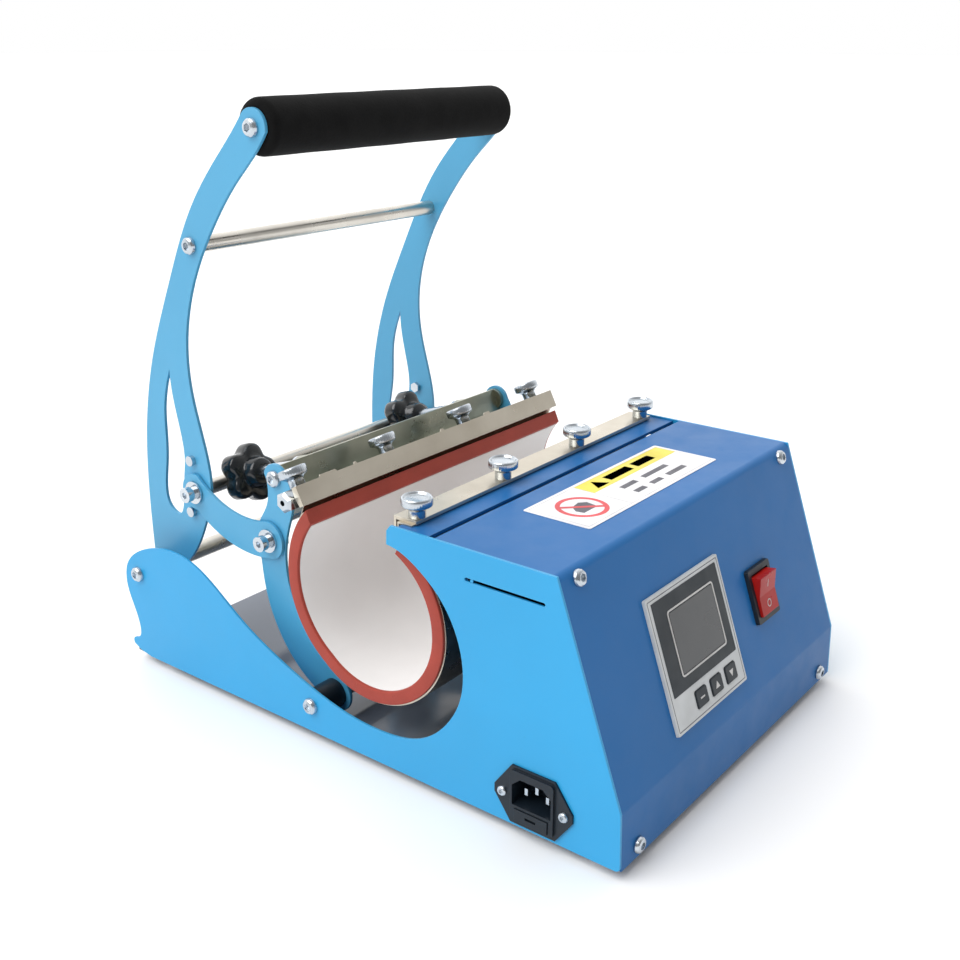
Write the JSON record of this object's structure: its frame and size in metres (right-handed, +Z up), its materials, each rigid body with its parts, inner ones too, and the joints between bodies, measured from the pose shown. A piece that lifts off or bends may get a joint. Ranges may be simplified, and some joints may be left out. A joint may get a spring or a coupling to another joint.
{
  "type": "mug heat press",
  "caption": "Tabletop mug heat press: sheet-metal base with sloping control panel, curved heater for a mug, and a rear lever that closes the heater through toggle links.",
  "frame": {"origin": "middle of the machine's length and width, at the bottom of the rubber feet", "axes": "+X to the operator's right, -Y towards the operator and the control panel, +Z up"},
  "size_m": [0.275, 0.4022, 0.3799],
  "materials": {
    "side_blue": "satin powder coat",
    "cover_blue": "satin powder coat",
    "arm_blue": "satin powder coat",
    "floor_blue": "gloss powder coat",
    "navy_sheet": "satin powder coat",
    "stainless": "cold rolled, satin",
    "plated_steel": "mill finish",
    "bright_rod": "ground and polished",
    "zinc": "bright zinc plate",
    "red_silicone": "matt silicone sponge",
    "liner_cloth": "smooth satin sheet",
    "foam_grip": "fine open foam",
    "foot_rubber": "matt",
    "knob_black": "glossy moulded",
    "black_plastic": "satin moulded",
    "controller_silver": "satin film",
    "controller_dark": "satin film",
    "screen_glass": "gloss",
    "red_rocker": "gloss, translucent",
    "label_film": "satin printed film"
  },
  "bodies": {
    "base": {"side_plate_left": "side_blue", "side_plate_right": "side_blue", "control_cover": "cover_blue", "bottom_plate": "floor_blue", "partition_wall": "navy_sheet", "clamp_shelf": "cover_blue", "rubber_feet": "foot_rubber", "panel_screws": "zinc", "lever_pivot_shaft": "bright_rod", "cradle_pivot_shaft": "bright_rod", "pivot_screws": "zinc", "pivot_spacers": "black_plastic", "fixed_clamp": "stainless", "fixed_thumb_screws": "zinc", "heater_liner_fixed": "liner_cloth", "heater_pad_fixed": "red_silicone", "heater_band_fixed": "stainless", "heater_pad_flex": "red_silicone", "heater_band_flex": "stainless", "inlet_body": "black_plastic", "inlet_pins": "zinc", "inlet_screws": "zinc", "switch_frame": "black_plastic", "controller_body": "controller_silver", "controller_face": "controller_dark", "controller_screen": "screen_glass", "caution_label": "label_film"},
    "lever": {"lever_arm_left": "arm_blue", "lever_arm_right": "arm_blue", "handle_rod": "bright_rod", "handle_grip": "foam_grip", "lever_cross_rod": "bright_rod", "arm_screws": "zinc", "link_rod": "bright_rod", "link_rod_bolts": "zinc", "stop_bolts": "zinc"},
    "toggle_left": {"link_left": "arm_blue", "link_bolt_left": "zinc"},
    "toggle_right": {"link_right": "arm_blue", "link_bolt_right": "zinc"},
    "cradle": {"cradle_bracket_left": "arm_blue", "cradle_bracket_right": "arm_blue", "cradle_nuts": "zinc", "cross_plate": "plated_steel", "cross_plate_screws": "zinc", "clamp_hex_bar": "zinc", "moving_clamp": "stainless", "moving_thumb_screws": "zinc", "heater_liner_moving": "liner_cloth", "heater_pad_moving": "red_silicone", "heater_band_moving": "stainless"},
    "knob_left": {"pressure_knob_left": "knob_black", "knob_stud_left": "zinc"},
    "knob_right": {"pressure_knob_right": "knob_black", "knob_stud_right": "zinc"},
    "rocker": {"switch_rocker": "red_rocker"},
    "key_left": {"button_left": "controller_dark"},
    "key_middle": {"button_middle": "controller_dark"},
    "key_right": {"button_right": "controller_dark"},
    "drawer": {"fuse_drawer": "black_plastic"}
  },
  "joints": [
    {"name": "lever_hinge", "type": "hinge", "parent": "base", "child": "lever", "pos_m": [0, 0.1868, 0.0675], "axis": [1, 0, 0], "range_deg": [0, 33]},
    {"name": "cradle_hinge", "type": "hinge", "parent": "base", "child": "cradle", "pos_m": [0, 0.0243, 0.024], "axis": [1, 0, 0], "range_deg": [0, 15], "deforming": ["heater_pad_flex", "heater_band_flex"]},
    {"name": "toggle_hinge_left", "type": "hinge", "parent": "lever", "child": "toggle_left", "pos_m": [0, 0.1428, 0.1315], "axis": [1, 0, 0], "range_deg": [-71, 0]},
    {"name": "toggle_hinge_right", "type": "hinge", "parent": "lever", "child": "toggle_right", "pos_m": [0, 0.1428, 0.1315], "axis": [1, 0, 0], "range_deg": [-71, 0]},
    {"name": "knob_turn_left", "type": "hinge", "parent": "cradle", "child": "knob_left", "pos_m": [-0.08, 0.1253, 0.139], "axis": [0, -0.9516, 0.3074], "continuous": true},
    {"name": "knob_turn_right", "type": "hinge", "parent": "cradle", "child": "knob_right", "pos_m": [0.08, 0.1253, 0.139], "axis": [0, -0.9516, 0.3074], "continuous": true},
    {"name": "power_rocker", "type": "hinge", "parent": "base", "child": "rocker", "pos_m": [0.0536, -0.17969, 0.0905], "axis": [-1, 0, 0], "range_deg": [0, 20]},
    {"name": "key_press_left", "type": "slide", "parent": "base", "child": "key_left", "axis": [0, 0.9438, -0.3305], "range_m": [0, 0.001], "stiffness_N_per_m": 400},
    {"name": "key_press_middle", "type": "slide", "parent": "base", "child": "key_middle", "axis": [0, 0.9438, -0.3305], "range_m": [0, 0.001], "stiffness_N_per_m": 400},
    {"name": "key_press_right", "type": "slide", "parent": "base", "child": "key_right", "axis": [0, 0.9438, -0.3305], "range_m": [0, 0.001], "stiffness_N_per_m": 400},
    {"name": "fuse_drawer_slide", "type": "slide", "parent": "base", "child": "drawer", "axis": [-1, 0, 0], "range_m": [0, 0.015]}
  ],
  "couplings": [
    {"joint": "cradle_hinge", "follows": "lever_hinge", "ratio": 0.43758},
    {"joint": "toggle_hinge_left", "follows": "lever_hinge", "ratio": -2.1139},
    {"joint": "toggle_hinge_right", "follows": "lever_hinge", "ratio": -2.1139}
  ]
}
